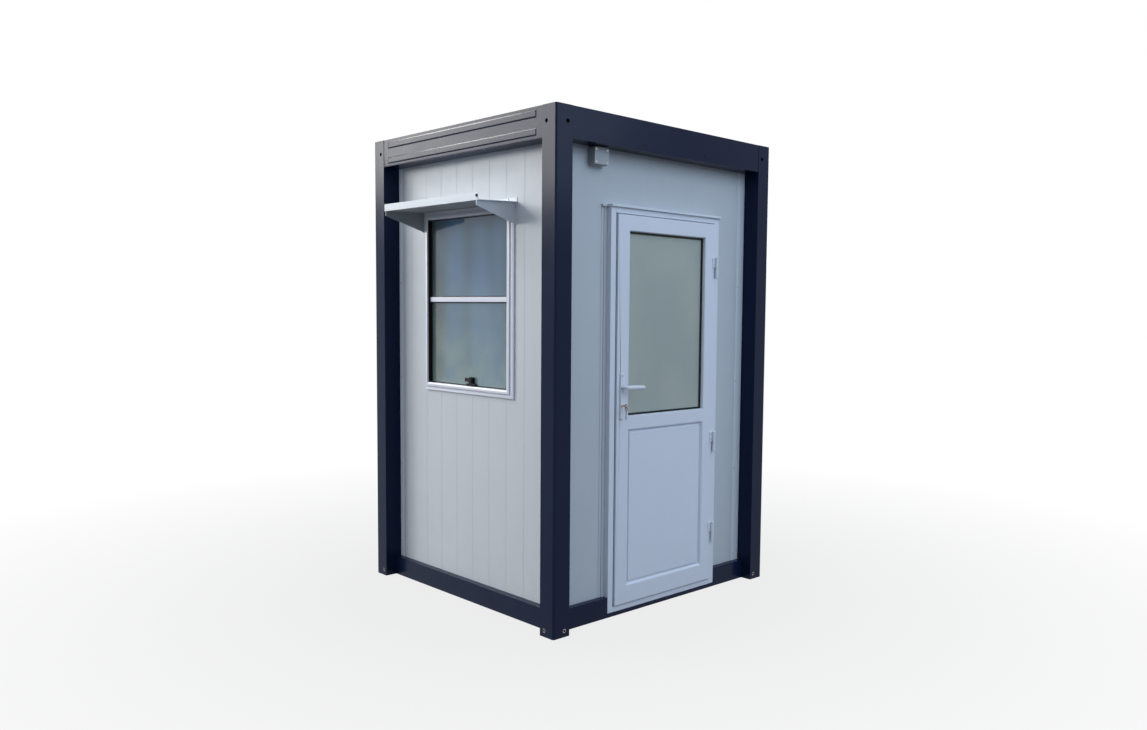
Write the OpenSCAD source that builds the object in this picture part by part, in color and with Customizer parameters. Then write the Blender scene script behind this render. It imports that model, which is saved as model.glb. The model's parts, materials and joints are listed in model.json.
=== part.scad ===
// Guard booth: a small steel-framed cabin with a hooded window and a half-glazed door.
// The booth stands on the ground plane, +Z is up, the window side faces -Y and the door side faces +X.

/* [Overall] */
// Outside width, along X
booth_w = 1600; // [1500:10:2200]
// Outside depth, along Y
booth_d = 1600; // [1500:10:2200]
// Outside height
booth_h = 2500; // [2400:10:2800]

/* [Steel frame] */
// Side of a square corner post
post_w = 100; // [80:1:120]
// Bend radius of a post's outer edge
post_edge_r = 10; // [4:1:20]
// Height of the top beams
beam_h = 150; // [120:1:180]
// Set-back of a smooth beam behind the posts
beam_step = 2; // [1:1:5]
// Height of the bottom rails
rail_h = 105; // [85:1:130]
// How far a bottom rail stands out from the wall
rail_proud = 35; // [20:1:60]
// Height of a pressed bead on a ribbed beam
bead_w = 36; // [24:1:40]
// How far a bead stands out
bead_out = 2; // [1:0.5:6]
// Width of a bead's sloping sides
bead_slope = 6; // [3:1:11]
// Distance of a bead's middle from the beam's edge
bead_in = 33; // [30:1:44]
// Length of beam left plain at each end of a bead
bead_end = 45; // [30:1:90]
// Radius of the fixing holes in the posts
fixing_r = 10; // [5:0.5:12]
// Depth of the fixing holes
fixing_depth = 40; // [20:1:45]
// Distance of a fixing hole from the post's outer edge
fixing_in = 70; // [60:1:75]
// Distance of an upper fixing hole from the top
fixing_top = 75; // [50:1:100]
// Height of a lower fixing hole above the ground
fixing_low = 30; // [20:1:60]

/* [Walls] */
// Thickness of a wall panel
wall_t = 50; // [40:1:80]
// Width of the corner strips on the side walls
strip_w = 60; // [40:1:80]
// Thickness of the corner strips
strip_t = 2; // [1:0.5:3]

/* [Roof and floor] */
// Thickness of the roof panel
roof_t = 100; // [60:1:105]
// Thickness of the ceiling sheet
ceiling_t = 12; // [6:1:15]
// Thickness of the floor panel
floor_t = 54; // [40:1:70]
// Thickness of the floor covering
cover_t = 3; // [2:0.5:6]

/* [Window] */
// Outside width of the window frame
win_w = 791; // [600:1:900]
// Outside height of the window frame
win_h = 980; // [700:1:1000]
// Middle of the window, along X from the booth's middle
win_x = -23.5; // [-60:0.5:60]
// Height of wall over the window frame
over_win = 265; // [200:1:400]
// Width of the window frame's top and bottom members
win_bar = 42; // [35:1:60]
// Width of the window frame's narrower left member
win_bar_l = 26; // [20:1:45]
// Width of the window frame's wider right member
win_bar_r = 55; // [45:1:70]
// How far the window frame stands out from the wall
win_proud = 15; // [5:1:25]
// Thickness of the glass
glass_t = 6; // [4:1:10]
// Distance of the glass behind the front of its frame
glass_in = 30; // [18:1:36]
// Height of the bar across the window
bar_h = 26; // [20:1:40]
// Height of the bar above the window's middle
bar_up = 12; // [0:1:40]
// Depth of the bar across the window
bar_t = 30; // [22:1:40]
// Width of the window latch
latch_w = 80; // [50:1:100]
// Height of the window latch
latch_h = 34; // [20:1:45]
// Thickness of the window latch
latch_t = 13; // [8:1:15]
// Middle of the window latch, along X from the window's middle
latch_x = 15; // [-60:1:60]

/* [Hood] */
// Reach of the hood from the wall
hood_reach = 238; // [150:1:320]
// How far the hood's sheet passes the gussets
hood_side = 11; // [5:1:30]
// Space between a gusset and the window frame
hood_gap = 15; // [14:1:40]
// Middle of the hood, along X from the window's middle
hood_shift = -12; // [-12:1:12]
// Thickness of the hood's sheet
hood_t = 3; // [2:0.5:5]
// Height of the hood's upturned front lip
lip_h = 37; // [25:1:60]
// Height of the hood's upturned back flange
flange_h = 21; // [15:1:40]
// Rise of the hood's back edge above the window frame
hood_up = 2; // [1:0.5:20]
// Fall of the hood from back to front
hood_fall = 10; // [4:1:14]
// Height of a gusset at the wall
gusset_back = 109; // [80:1:160]
// Height of a gusset at the front
gusset_front = 24; // [15:1:50]

/* [Door frame] */
// Outside width of the door frame
frame_w = 824; // [760:1:900]
// Height of wall over the door frame
over_door = 280; // [200:1:400]
// Middle of the door, along Y from the booth's middle
door_y = 26; // [-30:1:30]
// Height of the dark threshold under the door frame
sill_z = 22; // [15:1:30]
// Visible width of the side members
jamb_w = 35; // [30:1:60]
// Visible height of the head and the sill
head_h = 28; // [25:1:60]
// How far the door frame stands out from the wall
frame_proud = 35; // [20:1:50]
// Depth of the side members and the head
frame_deep = 75; // [72:1:80]
// Width of the stops behind the leaf
stop_w = 18; // [12:1:18]
// Thickness of the stops
stop_t = 8; // [5:1:8]
// Height of the drip cap over the door
cap_h = 12; // [8:1:20]
// Reach of the drip cap from the wall
cap_reach = 48; // [45:1:70]
// How far the drip cap passes the frame at each side
cap_side = 5; // [2:1:15]

/* [Door leaf] */
// Thickness of the leaf
leaf_t = 65; // [60:1:65]
// How far the leaf stands out from its frame
leaf_out = 10; // [8:1:14]
// Gap beside the leaf's face at the handle
lock_gap = 5.5; // [5.5:0.5:8]
// How far the leaf's edge is bevelled back at the handle
leaf_bevel = 5; // [5:0.5:8]
// Gap beside the leaf at the hinges
hinge_gap = 5; // [5:0.5:8]
// Gap over and under the leaf
edge_gap = 5; // [5:0.5:8]
// Width of the leaf's side members
stile_w = 80; // [72:1:90]
// Height of the leaf's upper member
top_rail = 77; // [60:1:100]
// Height of the leaf's middle member
mid_rail = 65; // [50:1:90]
// Height of the leaf's lower member
low_rail = 91; // [60:1:120]
// Height of the leaf's glass
pane_h = 939; // [700:1:1000]
// Distance of the leaf's glass behind its face
pane_in = 24; // [12:1:30]
// Thickness of the leaf's lower panel
panel_t = 28; // [20:1:34]
// Distance of the lower panel behind the leaf's face
panel_in = 16; // [12:1:20]
// Width of the border around the panel's raised field
field_in = 20; // [15:1:40]
// How far the raised field stands out
field_out = 9; // [4:1:10]

/* [Handle] */
// Height of the handle's spindle above the ground
spindle_z = 1172; // [1130:1:1190]
// Distance of the spindle from the leaf's edge
spindle_in = 31.5; // [31:0.5:36]
// Radius of the spindle
spindle_r = 5; // [4:0.5:6]
// Width of a handle plate
plate_w = 26; // [24:1:26]
// Height of a handle plate
plate_h = 232; // [210:1:250]
// Thickness of a handle plate
plate_t = 9; // [6:1:10]
// Distance from the plate's middle up to the spindle
plate_up = 44; // [35:1:50]
// Distance from the spindle down to the lock
lock_down = 92; // [85:1:95]
// Radius of the lever
lever_r = 9; // [8:0.5:10]
// Length of the lever from its spindle
lever_len = 132; // [110:1:145]
// Distance from the plate to the middle of the lever
lever_out = 36; // [32:1:45]
// Gap between the lever's neck and its plate
neck_gap = 0.5; // [0.3:0.1:1]
// Radius of the lock cylinder
lock_r = 8.5; // [7:0.5:10]
// How far the lock cylinder stands out
lock_out = 7; // [4:1:10]
// Radius of a key's bow
bow_r = 11; // [9:0.5:13]
// Thickness of a key
key_t = 2.5; // [2:0.5:3]
// Width of a key's blade
blade_w = 7; // [6:0.5:8]
// Length of the hanging key's blade
blade_len = 42; // [30:1:50]
// Free length of the blade between the lock and the bow
shank_len = 8; // [6:1:12]

/* [Hinges] */
// Radius of the hinge barrels
barrel_r = 8.5; // [8:0.5:10]
// Distance of the barrels' axis in front of the leaf
barrel_out = 12; // [11:0.5:14]
// Height of one hinge
hinge_h = 110; // [60:1:130]
// Radius of the hinge pins
pin_r = 4; // [3:0.5:5]
// Radial play of pins and spindle in their bores
play = 0.1; // [0.05:0.01:0.1]
// Gap between the two halves of a hinge
half_gap = 1; // [0.5:0.5:2]
// Width of a hinge leaf
flag_w = 26; // [22:1:32]
// Thickness of a hinge leaf
flag_t = 5; // [4:0.5:6]
// Distance of the upper hinge below the leaf's top
hinge_top = 237; // [150:1:300]
// Height of the middle hinge
hinge_z2 = 835; // [700:1:1000]
// Height of the lower hinge
hinge_z1 = 325; // [250:1:400]

/* [Junction box] */
// Width of the junction box
jbox_w = 102; // [80:1:110]
// Height of the junction box
jbox_h = 88; // [80:1:110]
// Depth of the junction box
jbox_t = 46; // [35:1:60]
// Corner radius of the junction box
jbox_r = 12; // [6:1:20]
// Distance of the junction box below the top beam
jbox_down = 2; // [1:1:30]
// Distance of the junction box from the door frame
jbox_side = 26; // [10:1:30]
// Height of the junction box's lid
lid_t = 10; // [6:1:14]
// How far the lid stands in from the box's sides
lid_in = 3; // [2:1:5]

/* [Hidden] */
$fn = 48;
half_w = booth_w / 2;
half_d = booth_d / 2;
plane_x = half_w - post_w;
plane_y = half_d - post_w;
room_x = plane_x - wall_t;
room_y = plane_y - wall_t;
wall_z = booth_h - beam_h;
wall_h = wall_z - rail_h;
win_x0 = win_x - win_w / 2;
win_x1 = win_x + win_w / 2;
win_top = wall_z - over_win;
win_z = win_top - win_h;
pane_x0 = win_x0 + win_bar_l;
pane_w = win_w - win_bar_l - win_bar_r;
half_pane = (win_h - 2 * win_bar - bar_h) / 2;
bar_z = win_z + win_bar + half_pane + bar_up;
win_front = -plane_y - win_proud;
glass_y = win_front + glass_in;
hood_z = win_top + hood_up;
hood_x0 = win_x0 + hood_shift - hood_gap - hood_t;
hood_x1 = win_x1 + hood_shift + hood_gap + hood_t;
lip_y = -plane_y - hood_reach;
frame_top = wall_z - over_door;
jamb_y0 = door_y - frame_w / 2;
jamb_y1 = door_y + frame_w / 2;
way_y0 = jamb_y0 + jamb_w;
way_y1 = jamb_y1 - jamb_w;
frame_x1 = plane_x + frame_proud;
frame_x0 = frame_x1 - frame_deep;
way_z0 = sill_z + head_h;
way_z1 = frame_top - head_h;
leaf_x1 = frame_x1 + leaf_out;
leaf_x0 = leaf_x1 - leaf_t;
leaf_y0 = way_y0 + lock_gap;
leaf_y1 = way_y1 - hinge_gap;
leaf_z0 = way_z0 + edge_gap;
leaf_z1 = way_z1 - edge_gap;
light_y0 = leaf_y0 + stile_w;
light_w = leaf_y1 - leaf_y0 - 2 * stile_w;
pane_z0 = leaf_z1 - top_rail - pane_h;
panel_z0 = leaf_z0 + low_rail;
panel_h = pane_z0 - mid_rail - panel_z0;
spindle_y = leaf_y0 + spindle_in;
plate_z0 = spindle_z - plate_up - plate_h / 2;
lock_z = spindle_z - lock_down;
grip_len = lever_len - lever_r;
axis_x = leaf_x1 + barrel_out;
axis_y = (leaf_y1 + way_y1) / 2;
half_h = (hinge_h - half_gap) / 2;
hinge_zs = [hinge_z1, hinge_z2, leaf_z1 - hinge_top];
jbox_y0 = jamb_y0 - jbox_side - jbox_w;
jbox_z0 = wall_z - jbox_down - jbox_h;
navy = [0.05, 0.07, 0.12];
panel_grey = [0.78, 0.81, 0.84];
white = [0.92, 0.93, 0.94];
steel = [0.62, 0.63, 0.65];
black = [0.03, 0.03, 0.03];
clear = [0.60, 0.70, 0.74, 0.4];

// Part to show

// Box between two corners
module span(low, high) {
    translate(low)
        cube(high - low);
}

// Corner post, drawn for the corner at +X and -Y of the booth's middle
module post() {
    difference() {
        translate([plane_x, -half_d, 0])
            linear_extrude(booth_h) {
                translate([0, post_edge_r])
                    square([post_w, post_w - post_edge_r]);
                square([post_w - post_edge_r, post_w]);
                translate([post_w - post_edge_r, post_edge_r])
                    circle(post_edge_r);
            }
        for (z = [fixing_low, booth_h - fixing_top]) {
            translate([half_w - fixing_in, -half_d + fixing_depth, z])
                rotate([90, 0, 0])
                    cylinder(h = fixing_depth + 1, r = fixing_r);
            translate([half_w - fixing_depth, -half_d + fixing_in, z])
                rotate([0, 90, 0])
                    cylinder(h = fixing_depth + 1, r = fixing_r);
        }
    }
}

module post_front_right() color(navy) post();

module post_front_left() color(navy) mirror([1, 0, 0]) post();

module post_back_right() color(navy) mirror([0, 1, 0]) post();

module post_back_left() color(navy) mirror([1, 0, 0]) mirror([0, 1, 0]) post();

// Bar along one side, mitred over the wall at both ends; drawn for the side at -Y
module side_bar(half_len, face, plane, h) {
    linear_extrude(h)
        polygon([
            [-half_len, -face], [half_len, -face], [half_len, -plane],
            [half_len - wall_t, wall_t - plane], [wall_t - half_len, wall_t - plane], [-half_len, -plane]
        ]);
}

// One pressed bead with sloping sides and ends, along X at the given face
module bead(half_len, face) {
    intersection() {
        linear_extrude(bead_w, center = true)
            bead_outline(half_len, face);
        rotate([0, -90, 0])
            linear_extrude(2 * half_len, center = true)
                bead_outline(bead_w / 2, face);
    }
}

// Flat bead from end to end, rooted a little behind the face
module bead_outline(half_len, face) {
    polygon([
        [-half_len, 1 - face], [-half_len, -face], [bead_slope - half_len, -face - bead_out],
        [half_len - bead_slope, -face - bead_out], [half_len, -face], [half_len, 1 - face]
    ]);
}

// Top beam with two beads; drawn for the side at -Y
module ribbed_beam() {
    translate([0, 0, wall_z]) {
        side_bar(plane_x, half_d - bead_out, plane_y, beam_h);
        for (z = [bead_in, beam_h - bead_in])
            translate([0, 0, z])
                bead(plane_x - bead_end, half_d - bead_out);
    }
}

// Plain top beam; drawn for the side at -Y of a booth turned a quarter
module smooth_beam() {
    translate([0, 0, wall_z])
        side_bar(plane_y, half_w - beam_step, plane_x, beam_h);
}

module beam_front() color(navy) ribbed_beam();

module beam_back() color(navy) rotate([0, 0, 180]) ribbed_beam();

module beam_right() color(navy) rotate([0, 0, 90]) smooth_beam();

module beam_left() color(navy) rotate([0, 0, -90]) smooth_beam();

// Roof panel, sunk between the top beams
module roof_panel() {
    color(navy)
        span([-room_x, -room_y, wall_z + ceiling_t], [room_x, room_y, wall_z + ceiling_t + roof_t]);
}

module ceiling() {
    color(white)
        span([-room_x, -room_y, wall_z], [room_x, room_y, wall_z + ceiling_t]);
}

module floor_panel() {
    color(steel)
        span([-room_x, -room_y, 0], [room_x, room_y, floor_t]);
}

module floor_covering() {
    color(steel)
        span([-room_x, -room_y, floor_t], [room_x, room_y, floor_t + cover_t]);
}

module rail_front() {
    color(navy)
        side_bar(plane_x, plane_y + rail_proud, plane_y, rail_h);
}

module rail_back() {
    color(navy)
        rotate([0, 0, 180])
            side_bar(plane_x, plane_y + rail_proud, plane_y, rail_h);
}

module rail_left() {
    color(navy)
        rotate([0, 0, -90])
            side_bar(plane_y, plane_x + rail_proud, plane_x, rail_h);
}

// Rail on the door side, between the front post and the door frame
module rail_right_front() {
    color(navy)
        linear_extrude(rail_h)
            polygon([
                [plane_x + rail_proud, -plane_y], [plane_x + rail_proud, jamb_y0], [room_x, jamb_y0],
                [room_x, -room_y], [plane_x, -plane_y]
            ]);
}

// Rail on the door side, between the door frame and the back post
module rail_right_back() {
    color(navy)
        linear_extrude(rail_h)
            polygon([
                [plane_x + rail_proud, jamb_y1], [plane_x + rail_proud, plane_y], [plane_x, plane_y],
                [room_x, room_y], [room_x, jamb_y1]
            ]);
}

// Dark strip under the door frame
module threshold() {
    color(navy)
        span([room_x, jamb_y0, 0], [plane_x + rail_proud, jamb_y1, sill_z]);
}

// Wall with the window cut through it
module front_wall() {
    color(panel_grey)
        difference() {
            span([-plane_x, -plane_y, rail_h], [plane_x, -room_y, wall_z]);
            span([win_x0, -plane_y - 1, win_z], [win_x1, 1 - room_y, win_top]);
        }
}

module back_wall() {
    color(panel_grey)
        span([-plane_x, room_y, rail_h], [plane_x, plane_y, wall_z]);
}

module left_wall() {
    color(panel_grey)
        span([-plane_x, -room_y, rail_h], [-room_x, room_y, wall_z]);
}

module right_wall_front() {
    color(panel_grey)
        span([room_x, -room_y, rail_h], [plane_x, jamb_y0, wall_z]);
}

module right_wall_back() {
    color(panel_grey)
        span([room_x, jamb_y1, rail_h], [plane_x, room_y, wall_z]);
}

module right_wall_over() {
    color(panel_grey)
        span([room_x, jamb_y0, frame_top], [plane_x, jamb_y1, wall_z]);
}

// White strips that cover the wall joints beside the posts
module corner_strips() {
    color(white)
        for (x = [plane_x, -plane_x - strip_t])
            for (y = [-plane_y, plane_y - strip_w])
                span([x, y, rail_h], [x + strip_t, y + strip_w, wall_z]);
}

module window_frame() {
    color(white)
        difference() {
            span([win_x0, win_front, win_z], [win_x1, -room_y, win_top]);
            span([pane_x0, win_front - 1, win_z + win_bar],
                 [pane_x0 + pane_w, 1 - room_y, win_top - win_bar]);
        }
}

module window_bar() {
    color(white)
        translate([pane_x0, glass_y + glass_t / 2 - bar_t / 2, bar_z])
            cube([pane_w, bar_t, bar_h]);
}

// Two panes, over and under the bar
module window_glass() {
    color(clear)
        for (z = [[win_z + win_bar, bar_z], [bar_z + bar_h, win_top - win_bar]])
            span([pane_x0, glass_y, z[0]], [pane_x0 + pane_w, glass_y + glass_t, z[1]]);
}

// Black latch at the foot of the lower pane
module window_latch() {
    color(black)
        translate([win_x + latch_x - latch_w / 2, glass_y - latch_t, win_z + win_bar]) {
            cube([latch_w, latch_t, latch_h * 0.4]);
            translate([latch_w / 4, 0, 0])
                cube([latch_w / 2, latch_t, latch_h]);
        }
}

// Folded sheet: upturned back flange, sloping shelf and upturned front lip
module hood_sheet() {
    color(white)
        translate([hood_x0 - hood_side, 0, 0])
            rotate([90, 0, 90])
                linear_extrude(hood_x1 - hood_x0 + 2 * hood_side)
                    polygon([
                        [-plane_y, hood_z], [-plane_y, hood_z + hood_t + flange_h],
                        [-plane_y - hood_t, hood_z + hood_t + flange_h], [-plane_y - hood_t, hood_z + hood_t],
                        [lip_y + hood_t, hood_z + hood_t - hood_fall],
                        [lip_y + hood_t, hood_z - hood_fall + lip_h],
                        [lip_y, hood_z - hood_fall + lip_h], [lip_y, hood_z - hood_fall]
                    ]);
}

// Three-cornered side plates that carry the hood
module hood_gussets() {
    color(white)
        for (x = [hood_x0, hood_x1 - hood_t])
            translate([x, 0, 0])
                rotate([90, 0, 90])
                    linear_extrude(hood_t)
                        polygon([
                            [-plane_y, hood_z], [lip_y, hood_z - hood_fall],
                            [lip_y, hood_z - hood_fall - gusset_front], [-plane_y, hood_z - gusset_back]
                        ]);
}

module door_jamb_lock() {
    color(white)
        span([frame_x0, jamb_y0, sill_z], [frame_x1, way_y0, frame_top]);
}

module door_jamb_hinge() {
    color(white)
        span([frame_x0, way_y1, sill_z], [frame_x1, jamb_y1, frame_top]);
}

module door_head() {
    color(white)
        span([frame_x0, way_y0, way_z1], [frame_x1, way_y1, frame_top]);
}

module door_sill() {
    color(white)
        span([room_x, way_y0, sill_z], [frame_x1, way_y1, way_z0]);
}

// Stops that the closed leaf nearly meets
module door_stops() {
    color(white) {
        span([frame_x0, way_y0, way_z0], [frame_x0 + stop_t, way_y0 + stop_w, way_z1]);
        span([frame_x0, way_y1 - stop_w, way_z0], [frame_x0 + stop_t, way_y1, way_z1]);
        span([frame_x0, way_y0, way_z1 - stop_w], [frame_x0 + stop_t, way_y1, way_z1]);
    }
}

module drip_cap() {
    color(white)
        span([plane_x, jamb_y0 - cap_side, frame_top], [plane_x + cap_reach, jamb_y1 + cap_side, frame_top + cap_h]);
}

// Lower hinge halves with their pins, fixed to the frame
module frame_hinges() {
    color(white)
        for (z = hinge_zs)
            translate([axis_x, axis_y, z - hinge_h / 2]) {
                cylinder(h = half_h, r = barrel_r);
                cylinder(h = hinge_h - 4, r = pin_r);
                translate([frame_x1 - axis_x, way_y1 - axis_y, 0]) {
                    cube([flag_t, flag_w, half_h]);
                    cube([axis_x - frame_x1, barrel_r - way_y1 + axis_y, half_h]);
                }
            }
}

// Upper hinge halves, fixed to the leaf
module leaf_hinges() {
    color(white)
        for (z = hinge_zs)
            translate([axis_x, axis_y, z + half_gap / 2])
                difference() {
                    union() {
                        cylinder(h = half_h, r = barrel_r);
                        span([-barrel_out, -flag_w, 0], [flag_t - barrel_out, leaf_y1 - axis_y, half_h]);
                    }
                    translate([0, 0, -1])
                        cylinder(h = half_h - 1, r = pin_r + play);
                }
}

// Plastic box high on the door wall
module junction_box() {
    color(white)
        translate([plane_x, jbox_y0, jbox_z0]) {
            rotate([90, 0, 90])
                linear_extrude(jbox_t - lid_t)
                    rounded(jbox_w, jbox_h, jbox_r, 0);
            translate([jbox_t - lid_t, 0, 0])
                rotate([90, 0, 90])
                    linear_extrude(lid_t)
                        rounded(jbox_w, jbox_h, jbox_r, lid_in);
        }
}

// Flat outline with round corners, drawn in by a margin
module rounded(w, h, r, margin) {
    q = r - margin;
    translate([r, margin])
        square([w - 2 * r, h - 2 * margin]);
    translate([margin, r])
        square([w - 2 * margin, h - 2 * r]);
    for (x = [r, w - r])
        for (y = [r, h - r])
            translate([x, y])
                circle(q);
}

// Leaf with a glazed opening above and a panel opening below
module door_leaf() {
    color(white)
        difference() {
            translate([0, 0, leaf_z0])
                linear_extrude(leaf_z1 - leaf_z0)
                    polygon([
                        [leaf_x0, leaf_y0 + leaf_bevel], [leaf_x1, leaf_y0], [leaf_x1, leaf_y1], [leaf_x0, leaf_y1]
                    ]);
            translate([leaf_x0 - 1, light_y0, pane_z0])
                cube([leaf_t + 2, light_w, pane_h]);
            translate([leaf_x0 - 1, light_y0, panel_z0])
                cube([leaf_t + 2, light_w, panel_h]);
            spindle_bore(leaf_x0, leaf_x1);
        }
}

// Bore for the handle's spindle between two planes
module spindle_bore(x0, x1) {
    translate([x0 - 1, spindle_y, spindle_z])
        rotate([0, 90, 0])
            cylinder(h = x1 - x0 + 2, r = spindle_r + play);
}

module door_glass() {
    color(clear)
        translate([leaf_x1 - pane_in - glass_t, light_y0, pane_z0])
            cube([glass_t, light_w, pane_h]);
}

// Lower panel with a raised field
module door_panel() {
    color(white)
        translate([leaf_x1 - panel_in - panel_t, light_y0, panel_z0]) {
            cube([panel_t, light_w, panel_h]);
            translate([panel_t, field_in, field_in])
                cube([field_out, light_w - 2 * field_in, panel_h - 2 * field_in]);
        }
}

// Long plates outside and inside
module handle_plates() {
    color(white)
        for (x = [leaf_x0 - plate_t, leaf_x1])
            difference() {
                translate([x, spindle_y - plate_w / 2, plate_z0])
                    cube([plate_t, plate_w, plate_h]);
                spindle_bore(x, x + plate_t);
            }
}

// Ends of the lock cylinder outside and inside
module lock_cylinder() {
    color(steel)
        for (x = [leaf_x0 - plate_t - lock_out, leaf_x1 + plate_t])
            translate([x, spindle_y, lock_z])
                rotate([0, 90, 0])
                    cylinder(h = lock_out, r = lock_r);
}

// Key in the lock with a second key hanging from its bow
module door_keys() {
    color(steel)
        translate([leaf_x1 + plate_t + lock_out, spindle_y, lock_z]) {
            span([0, -key_t, -blade_w / 2], [shank_len + bow_r, 0, blade_w / 2]);
            translate([shank_len + bow_r, 0, 0])
                rotate([90, 0, 0])
                    cylinder(h = key_t, r = bow_r);
            translate([shank_len + bow_r, key_t, -bow_r * 1.5])
                rotate([90, 0, 0])
                    cylinder(h = key_t, r = bow_r);
            translate([shank_len + bow_r - blade_w / 2, 0, -bow_r * 2.4 - blade_len])
                cube([blade_w, key_t, blade_len]);
        }
}

// One lever, from the plate's face outward along +X
module lever() {
    translate([neck_gap, 0, 0])
        rotate([0, 90, 0])
            cylinder(h = lever_out - neck_gap, r = lever_r);
    translate([lever_out, 0, 0])
        sphere(lever_r);
    translate([lever_out, 0, 0])
        rotate([-90, 0, 0])
            cylinder(h = grip_len, r = lever_r);
    translate([lever_out, grip_len, 0])
        sphere(lever_r);
}

// Levers outside and inside on one spindle
module door_lever() {
    color(white)
        translate([0, spindle_y, spindle_z]) {
            translate([leaf_x1 + plate_t, 0, 0])
                lever();
            translate([leaf_x0 - plate_t, 0, 0])
                mirror([1, 0, 0])
                    lever();
            translate([leaf_x0 - plate_t - neck_gap - 1, 0, 0])
                rotate([0, 90, 0])
                    cylinder(h = leaf_t + 2 * (plate_t + neck_gap + 1), r = spindle_r);
        }
}

post_front_left();
post_front_right();
post_back_left();
post_back_right();
beam_front();
beam_right();
beam_back();
beam_left();
roof_panel();
ceiling();
floor_panel();
floor_covering();
rail_front();
rail_back();
rail_left();
rail_right_front();
rail_right_back();
threshold();
front_wall();
back_wall();
left_wall();
right_wall_front();
right_wall_back();
right_wall_over();
corner_strips();
window_frame();
window_bar();
window_glass();
window_latch();
hood_sheet();
hood_gussets();
door_jamb_lock();
door_jamb_hinge();
door_head();
door_sill();
door_stops();
drip_cap();
frame_hinges();
junction_box();
door_leaf();
door_glass();
door_panel();
leaf_hinges();
handle_plates();
lock_cylinder();
door_keys();
door_lever();
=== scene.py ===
"""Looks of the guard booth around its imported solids: finishes, trims, fixings, light and camera."""

import json
import math

import bmesh
import bpy
from mathutils import Matrix, Vector


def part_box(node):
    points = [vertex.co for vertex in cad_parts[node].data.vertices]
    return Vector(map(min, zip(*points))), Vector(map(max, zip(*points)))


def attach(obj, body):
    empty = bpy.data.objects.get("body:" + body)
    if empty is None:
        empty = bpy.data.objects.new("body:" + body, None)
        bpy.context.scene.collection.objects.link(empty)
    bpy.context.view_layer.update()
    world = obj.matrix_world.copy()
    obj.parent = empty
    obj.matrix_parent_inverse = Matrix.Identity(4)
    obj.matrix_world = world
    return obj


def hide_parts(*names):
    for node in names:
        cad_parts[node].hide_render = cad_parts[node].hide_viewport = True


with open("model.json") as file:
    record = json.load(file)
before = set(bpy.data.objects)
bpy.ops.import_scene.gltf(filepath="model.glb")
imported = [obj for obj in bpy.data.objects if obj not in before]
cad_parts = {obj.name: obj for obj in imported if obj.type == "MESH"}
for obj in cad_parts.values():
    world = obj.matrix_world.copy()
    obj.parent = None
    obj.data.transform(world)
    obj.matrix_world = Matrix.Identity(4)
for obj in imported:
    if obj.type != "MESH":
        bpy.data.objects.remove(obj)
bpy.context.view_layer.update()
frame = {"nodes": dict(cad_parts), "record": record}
nodes = frame["nodes"]
scene = bpy.context.scene
scene.view_settings.view_transform = "Standard"

# Planes and corners of the solids, in metres
wall_lo, wall_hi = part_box("front_wall")
win_lo, win_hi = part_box("window_frame")
pane_lo, pane_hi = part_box("window_glass")
bar_lo, bar_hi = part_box("window_bar")
sheet_lo, sheet_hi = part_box("hood_sheet")
gusset_lo, gusset_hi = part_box("hood_gussets")
jamb_lo, jamb_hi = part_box("door_jamb_lock")
frame_y1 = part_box("door_jamb_hinge")[1].y
leaf_lo, leaf_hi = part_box("door_leaf")
light_lo, light_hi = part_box("door_glass")
panel_lo, panel_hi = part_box("door_panel")
plate_lo, plate_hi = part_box("handle_plates")
lever_lo, lever_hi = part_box("door_lever")
lock_lo, lock_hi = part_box("lock_cylinder")
key_lo, key_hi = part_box("door_keys")
box_lo, box_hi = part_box("junction_box")
post_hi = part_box("post_front_right")[1]
roof_lo, roof_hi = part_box("roof_panel")
ceiling_lo, ceiling_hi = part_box("ceiling")
beam_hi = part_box("beam_right")[1]
flag_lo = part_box("leaf_hinges")[0]
foot_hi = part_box("frame_hinges")[1]
stop_lo, stop_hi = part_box("door_stops")
cap_lo, cap_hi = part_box("drip_cap")
wall_x = wall_hi.x
wall_y = -wall_lo.y
wall_t = wall_hi.y - wall_lo.y

slot_of = {part["node"]: part["material_slot"] for part in frame["record"]["subparts"]}


# Maps from a wall's own directions (along it, up, out of it) to the shared frame
def on_front(u, v, d):
    return Vector((u, -wall_y - d, v))


def on_back(u, v, d):
    return Vector((u, wall_y + d, v))


def on_left(u, v, d):
    return Vector((-wall_x - d, u, v))


def on_right(u, v, d):
    return Vector((wall_x + d, u, v))


def on_ceiling(u, v, d):
    return Vector((u, v, ceiling_lo.z - d))


# Finishes
def linear(red, green, blue):
    """Linear colour of an 8-bit display colour."""
    return tuple(((c / 255 + 0.055) / 1.055) ** 2.4 for c in (red, green, blue))


# Places of the colour sockets of a Mix node
MIX_A, MIX_B, MIX_RESULT = 6, 7, 2
# Parts of a noise's range that the layers use
MIDDLE_SPAN = (0.35, 0.65)
WEAR_SPAN = (0.3, 0.7)
MOTTLE_SPAN = (0.2, 0.8)
STREAK_SPAN = (0.5, 0.8)
DUST_SPAN = (0.35, 0.7)
FILM_OR_REFLECTION_SPAN = (0.40, 0.62)
FLECK_SPAN = (0.72, 0.8)


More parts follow.
